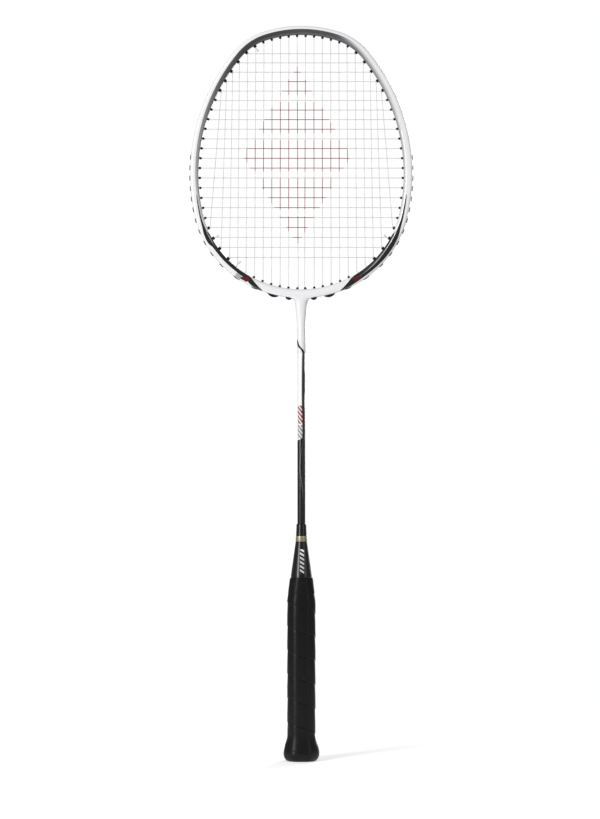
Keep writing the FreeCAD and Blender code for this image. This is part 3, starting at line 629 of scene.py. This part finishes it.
def head_frame():
    """The hoop, swept finely along its arcs, with the fall from the top and the inset as attributes."""
    half = FRAME_DEPTH / 2
    side = [
        (GROOVE_DEPTH, GROOVE_FLOOR, 0.3),
        (0.0, GROOVE_MOUTH, 0.25),
        (0.0, half, OUTER_CORNER),
        (FRAME_WIDTH, half, INNER_CORNER),
    ]
    section = rounded(side + [(u, -y, radius) for u, y, radius in reversed(side)])
    arcs = hoop_arcs()
    steps = 360
    points, fall, inset = [], [], []
    for step in range(steps):
        angle = -math.pi + 2 * math.pi * (step + 0.5) / steps
        for u, y in section:
            x, z = hoop_point(arcs, angle, u)
            points.append((x, y, z))
            fall.append(math.degrees(abs(angle)))
            inset.append(u)
    faces = ring_faces(steps, len(section), True)
    piece = make_mesh("head_hoop", points, faces, head_paint(), 0.7)
    add_values(piece.data, "fall", fall)
    add_values(piece.data, "inset", inset)
    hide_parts("head_frame")


def throat_sleeve():
    """The tapered sleeve, round at its foot, that spreads out against the hoop with a small fillet."""
    hoop_foot = 425.3
    # Height, half width, half depth and how square the section is: 2 is an ellipse.
    sections = [
        (SLEEVE_FOOT, SLEEVE_RADIUS - 0.35, SLEEVE_RADIUS - 0.35, 2.0),
        (SLEEVE_FOOT + 0.05, SLEEVE_RADIUS - 0.1, SLEEVE_RADIUS - 0.1, 2.0),
        (SLEEVE_FOOT + 0.3, SLEEVE_RADIUS, SLEEVE_RADIUS, 2.0),
        (390.0, SLEEVE_RADIUS, SLEEVE_RADIUS, 2.0),
        (402.0, 4.0, 3.98, 2.0),
        (406.0, 4.35, 4.15, 2.02),
        (410.0, 4.75, 4.45, 2.1),
        (414.0, 5.08, 4.7, 2.2),
        (418.0, 5.42, 4.9, 2.3),
        (hoop_foot - 3.6, 5.85, 5.02, 2.45),
        (hoop_foot - 2.6, 6.15, 5.06, 2.5),
        (hoop_foot - 1.6, 6.75, 5.09, 2.6),
        (hoop_foot - 0.8, 7.6, 5.11, 2.7),
        (hoop_foot - 0.25, 8.9, 5.12, 2.8),
        (hoop_foot + 0.1, 11.0, 5.13, 2.9),
        (hoop_foot + 1.6, 11.4, 5.0, 3.0),
        (hoop_foot + 3.2, 10.4, 4.4, 3.0),
    ]
    around = 72
    points = []
    for z, wide, deep, power in sections:
        for i in range(around):
            angle = 2 * math.pi * i / around
            sine, cosine = math.sin(angle), -math.cos(angle)
            points.append((
                wide * math.copysign(abs(sine) ** (2 / power), sine),
                deep * math.copysign(abs(cosine) ** (2 / power), cosine),
                z,
            ))
    faces = ring_faces(len(sections), around)
    faces.append(tuple(reversed(range(around))))
    last = (len(sections) - 1) * around
    faces.append(tuple(range(last, last + around)))
    piece = make_mesh("throat_fairing", points, faces, sleeve_paint(), 0.7)
    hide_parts("throat_sleeve")


def shaft():
    """The shaft, a thin tube."""
    profile = rounded([
        (SHAFT_BORE, SHAFT_FOOT, 0.1),
        (SHAFT_RADIUS, SHAFT_FOOT, 0.2),
        (SHAFT_RADIUS, SHAFT_TOP, 0.2),
        (SHAFT_BORE, SHAFT_TOP, 0.1),
    ], True, 3)
    piece = lathe("shaft_tube", profile, shaft_paint())
    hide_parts("shaft")


# ---------------------------------------------------------------- handle
def cone_profile():
    """The cone's outside from its rounded lip down, with a fine groove on either side of the band."""
    outside = [
        (4.45, CONE_TOP, 0.9),
        (4.62, 213.0, 30.0),
        (5.05, 203.0, 40.0),
        (9.5, 171.0, 60.0),
        (10.7, CONE_FOOT, 0.0),
    ]
    points = rounded([(SHAFT_RADIUS, CONE_TOP, 0.0)] + outside, False, 10)
    off_band = 0.12
    depth = 0.14
    mouth_half = 0.14
    floor_half = 0.04
    grooved = []
    for point, after in zip(points, points[1:]):
        grooved.append(point)
        for middle in (BAND_TOP + off_band, BAND_FOOT - off_band):
            if point.y > middle > after.y:
                radius = point.x + (after.x - point.x) * (point.y - middle) / (point.y - after.y)
                grooved += [
                    Vector((radius, middle + mouth_half)),
                    Vector((radius - depth, middle + floor_half)),
                    Vector((radius - depth, middle - floor_half)),
                    Vector((radius, middle - mouth_half)),
                ]
    grooved.append(points[-1])
    return grooved


def handle_cone():
    """The glossy cone over the handle's top."""
    inner = [
        Vector((SPIGOT_RADIUS, CONE_FOOT)),
        Vector((SPIGOT_RADIUS, CONE_SHOULDER)),
        Vector((SHAFT_RADIUS, CONE_SHOULDER)),
    ]
    piece = lathe("cone_shell", list(reversed(cone_profile() + inner)), cone_plastic())
    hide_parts("handle_cone")


def cone_band():
    """The thin metallic ring, with softened edges."""
    profile = rounded([
        (4.6, BAND_FOOT, 0.0),
        (5.27, BAND_FOOT, 0.14),
        (5.02, BAND_TOP, 0.14),
        (4.55, BAND_TOP, 0.0),
    ], True, 4)
    piece = lathe("band_ring", profile, band_metal())
    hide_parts("cone_band")


def grip_half_sizes(z):
    """Half width, half depth and bevel of the grip at this height, as in the CAD model."""
    if z >= GRIP_TAPER:
        share = min(1.0, (z - GRIP_TAPER) / (GRIP_TOP - GRIP_TAPER))
        return [a + (b - a) * share for a, b in zip(GRIP_HALF, GRIP_TOP_HALF)]
    share = min(1.0, max(0.0, (FLARE_TOP - z) / (FLARE_TOP - FLARE_WIDEST)))
    swell = (1 - math.cos(math.pi * share)) / 2
    sizes = [a + (b - a) * swell for a, b in zip(GRIP_HALF, BUTT_HALF)]
    if z < FLARE_WIDEST:
        drop = min(1.0, (FLARE_WIDEST - z) / FLARE_WIDEST)
        pull = BUTT_ROUND_IN * (1 - math.sqrt(1 - drop * drop))
        sizes = [sizes[0] - pull, sizes[1] - pull, sizes[2] - pull * BUTT_BEVEL_SHARE]
    return sizes


def octagon_radius(angle, half_x, half_y, bevel):
    """Distance from the axis to a softened octagon at this angle, by a smooth minimum of its eight sides."""
    softness = 13.0
    sine, cosine = abs(math.sin(angle)), abs(math.cos(angle))
    slant = (half_x + half_y - bevel) / math.sqrt(2)
    pull = [sine / half_x, cosine / half_y, (sine + cosine) / math.sqrt(2) / slant]
    total = sum(one ** softness for one in pull)
    return total ** (-1 / softness)


def seam_height(share):
    """How far the wrap stands up at this share of a turn above its lower edge, and how much painted shade lies
    there along the lapped edges.
    """
    edge_width = 0.022
    edge = min(1.0, share / edge_width)
    height = WRAP_STEP * math.sin(edge * math.pi / 2) * (1 - share) ** 0.8
    dip = -0.14 * math.exp(-((share - 1.0) / 0.02) ** 2) - 0.14 * math.exp(-(share / 0.008) ** 2)
    # Painted shade along the lapped edges, at the bottom and the top of each turn.
    dark = math.exp(-(share / 0.014) ** 2) + math.exp(-((share - 1.0) / 0.014) ** 2)
    crown = 0.10 * math.sin(math.pi * share)
    return height + dip + crown, min(1.0, dark)


# Shares of a turn at which the wrap has a row of points: close together at its lapped edge.
WRAP_SHARES = [0.0, 0.006, 0.012, 0.018, 0.024, 0.034, 0.05, 0.08, 0.12, 0.18, 0.26, 0.35, 0.44, 0.53, 0.62,
               0.71, 0.8, 0.87, 0.92, 0.95, 0.965, 0.978, 0.988, 0.994]
WRAP_AROUND = 192
WRAP_SUNK = 0.42
FADE_AT_TOP = 6.0
FADE_AT_FOOT = 10.0


def wrap_points():
    """The wrap's points, row after row along its turns, with the painted shade at the lapped edges for each of
    them.
    """
    points, lap_painted_shades = [], []
    for turn in range(WRAP_TURNS):
        for share in WRAP_SHARES:
            start = (turn - 1) * WRAP_PITCH + WRAP_START + share * WRAP_PITCH
            height, dark = seam_height(share)
            for i in range(WRAP_AROUND + 1):
                share_around = i / WRAP_AROUND
                angle = 2 * math.pi * share_around
                z = start - WRAP_PITCH * share_around
                wobble = 0.4 * math.sin(angle * 2 + z * 0.05) + 0.28 * math.sin(angle + z * 0.021)
                z = min(GRIP_TOP, max(GRIP_FOOT, z + wobble))
                fade = min(1.0, (GRIP_TOP - z) / FADE_AT_TOP, max(0.0, (z - GRIP_FOOT) / FADE_AT_FOOT))
                ripple = 0.05 * math.sin(7 * angle + 0.31 * z) * math.sin(0.17 * z)
                radius = octagon_radius(angle, *grip_half_sizes(z))
                radius += -WRAP_SUNK + (height + ripple) * fade
                points.append((radius * math.sin(angle), -radius * math.cos(angle), z))
                lap_painted_shades.append(dark * fade)
    return points, lap_painted_shades


def wrap_faces(points):
    """Quads between the wrap's rows, without those that lie squashed on its top or bottom edge."""
    width = WRAP_AROUND + 1
    faces = []
    for row in range(len(points) // width - 1):
        for i in range(WRAP_AROUND):
            quad = (row * width + i, row * width + i + 1, (row + 1) * width + i + 1, (row + 1) * width + i)
            heights = [points[corner][2] for corner in quad]
            level = max(heights) - min(heights) <= 1e-6
            if not (level and heights[0] in (GRIP_FOOT, GRIP_TOP)):
                faces.append(quad)
    return faces


def turn_in_edges(bm):
    """Turns the wrap's bottom and top edges in towards the handle, so that they look thick."""
    near = 1e-6
    for edge_height, thickness in ((GRIP_FOOT, 1.9), (GRIP_TOP, 0.9)):
        rim = [
            edge for edge in bm.edges
            if edge.is_boundary and all(abs(vert.co.z - edge_height * MM) < near for vert in edge.verts)
        ]
        grown = bmesh.ops.extrude_edge_only(bm, edges=rim)["geom"]
        for vert in [item for item in grown if isinstance(item, bmesh.types.BMVert)]:
            outward = Vector((vert.co.x, vert.co.y, 0)).normalized()
            vert.co = vert.co - outward * thickness * MM


def grip_wrap():
    """The spiral covering: one strip whose rows follow its turns, each lapped over the turn below it."""
    points, lap_painted_shades = wrap_points()
    mesh = bpy.data.meshes.new("grip_spiral")
    mesh.from_pydata([Vector(point) * MM for point in points], [], wrap_faces(points))
    # Keeps the painted shade of the lapped edges for the grip's material.
    add_values(mesh, "lap_painted_shade", lap_painted_shades)
    bm = bmesh.new()
    bm.from_mesh(mesh)
    bmesh.ops.delete(bm, geom=[vert for vert in bm.verts if not vert.link_faces], context="VERTS")
    bmesh.ops.remove_doubles(bm, verts=bm.verts, dist=2e-6)
    bmesh.ops.dissolve_degenerate(bm, dist=1e-7, edges=bm.edges)
    turn_in_edges(bm)
    bmesh.ops.recalc_face_normals(bm, faces=bm.faces)
    bm.to_mesh(mesh)
    bm.free()
    mesh.polygons.foreach_set("use_smooth", [True] * len(mesh.polygons))
    mesh.materials.append(grip_polyurethane())
    piece = add_object("grip_spiral", mesh)
    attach(piece, "root")
    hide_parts("grip_wrap")


def finish_tape():
    """The thin tape round the wrap's top, drawn in to the cone, with its foot turned in."""
    around = 144
    # Height and how far the tape stands off the grip there.
    profile = [
        (GRIP_TOP + 0.9, -0.75), (GRIP_TOP + 0.8, -0.32), (GRIP_TOP + 0.3, 0.02), (GRIP_TOP - 0.4, 0.14),
        (165.5, 0.16), (163.0, 0.13), (160.5, 0.16), (158.0, 0.14), (156.0, 0.16),
        (FINISH_FOOT + 0.6, 0.14), (FINISH_FOOT + 0.1, 0.02), (FINISH_FOOT, -0.45),
    ]
    points = []
    for z, lift in profile:
        for i in range(around):
            angle = 2 * math.pi * i / around
            slope = 1.1 * math.sin(angle + 0.9) * (z - FINISH_FOOT) / (GRIP_TOP - FINISH_FOOT)
            crinkle = 0.06 * math.sin(11 * angle + 1.3 * z) * math.sin(0.9 * z)
            radius = octagon_radius(angle, *grip_half_sizes(min(z, GRIP_TOP)))
            radius += lift + (crinkle if FINISH_FOOT < z <= GRIP_TOP else 0.0)
            points.append((radius * math.sin(angle), -radius * math.cos(angle), z + slope * 0.5))
    faces = [tuple(reversed(face)) for face in ring_faces(len(profile), around)]
    piece = make_mesh("finish_tape", points, faces, tape_vinyl(), 0.9)
    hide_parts("grip_finish_tape")


# ---------------------------------------------------------------- carried-over CAD nodes
def paint_cad_nodes():
    """Gives every CAD node its material, and softens the edges of the butt cap."""
    grommet = moulded("grommet_nylon", srgb(13, 13, 13), srgb(27, 27, 27), 0.4, 0.58)
    string = string_nylon()
    choices = {
        "main_string": string,
        "cross_string": string,
        "butt_cap": moulded("butt_plastic", srgb(18, 18, 18), srgb(30, 30, 30), 0.45, 0.6, 700.0),
        "handle_core": wood_grain(),
        "t_joint": moulded("insert_plastic", srgb(40, 40, 42), srgb(58, 58, 60), 0.5, 0.65),
        "butt_staple": drawn_steel(),
    }
    for name, node in nodes.items():
        node.data.materials.clear()
        node.data.materials.append(choices.get(name, grommet))
    bevel = nodes["butt_cap"].modifiers.new("softened edges", "BEVEL")
    bevel.width = 0.25 * MM
    bevel.segments = 3


# ---------------------------------------------------------------- stage, light and camera
def build_stage():
    """A plain pale floor under the racket."""
    reach = 0.5
    around = 96
    angles = [2 * math.pi * i / around for i in range(around)]
    rim = [(reach * math.cos(angle), reach * math.sin(angle), 0.0) for angle in angles]
    mesh = bpy.data.meshes.new("floor")
    mesh.from_pydata(rim, [], [tuple(range(around))])
    shader = Shader(
        "floor_paper",
        Base_Color=(0.9, 0.9, 0.9, 1.0),
        Roughness=0.9,
        Specular_IOR_Level=0.1,
        Emission_Color=(1.0, 1.0, 1.0, 1.0),
        Emission_Strength=0.4,
    )
    mesh.materials.append(shader.material)
    floor = add_object("floor", mesh)


def area_light(name, place, size, watts):
    """A soft rectangular light that faces the middle of the racket."""
    light = bpy.data.lights.new(name, "AREA")
    light.shape = "RECTANGLE"
    light.size, light.size_y = size
    light.energy = watts
    holder = add_object(name, light)
    holder.location = place
    holder.rotation_euler = (Vector(LIT_POINT) - Vector(place)).to_track_quat("-Z", "Y").to_euler()


# Brightness of the world as the camera sees it, and as the racket is lit by it.
BACKDROP = 1.02
SURROUND = 0.3
LIT_POINT = (0.0, 0.0, 0.35)


def build_light():
    """A white backdrop that lights only dimly, a tall key light from the left, a weak fill and a back light."""
    world = bpy.data.worlds.new("surround")
    bpy.context.scene.world = world
    world.use_nodes = True
    tree = world.node_tree
    tree.nodes.clear()
    seen = tree.nodes.new("ShaderNodeBackground")
    seen.inputs["Strength"].default_value = BACKDROP
    lighting = tree.nodes.new("ShaderNodeBackground")
    lighting.inputs["Strength"].default_value = SURROUND
    for node in (seen, lighting):
        node.inputs["Color"].default_value = (1.0, 1.0, 1.0, 1.0)
    ray = tree.nodes.new("ShaderNodeLightPath")
    join = tree.nodes.new("ShaderNodeMixShader")
    output = tree.nodes.new("ShaderNodeOutputWorld")
    tree.links.new(ray.outputs["Is Camera Ray"], join.inputs[0])
    tree.links.new(lighting.outputs[0], join.inputs[1])
    tree.links.new(seen.outputs[0], join.inputs[2])
    tree.links.new(join.outputs[0], output.inputs[0])
    area_light("key", (-1.8, -2.1, 1.2), (0.8, 1.9), 71.0)
    area_light("fill", (1.9, -1.6, 1.0), (1.2, 1.6), 9.0)
    area_light("back", (1.2, 2.4, 1.1), (1.4, 1.6), 40.0)


# The view is level, square on and from far off. VIEW_HEIGHT is how much of the racket's plane it covers.
VIEW_HEIGHT = 0.7526
VIEW_MIDDLE = (-0.00124, 0.3228)
LENS_MM = 135.0
SENSOR_MM = 36.0


def build_camera():
    """A long lens in front of the racket."""
    camera = bpy.data.cameras.new("camera")
    camera.lens = LENS_MM
    camera.sensor_width = SENSOR_MM
    camera.clip_end = 50.0
    holder = add_object("camera", camera)
    holder.location = (VIEW_MIDDLE[0], -VIEW_HEIGHT * LENS_MM / SENSOR_MM, VIEW_MIDDLE[1])
    holder.rotation_euler = (math.pi / 2, 0.0, 0.0)
    bpy.context.scene.camera = holder


build_camera()
build_stage()
build_light()
bpy.context.scene.view_settings.view_transform = "Standard"
head_frame()
throat_sleeve()
shaft()
handle_cone()
cone_band()
grip_wrap()
finish_tape()
paint_cad_nodes()
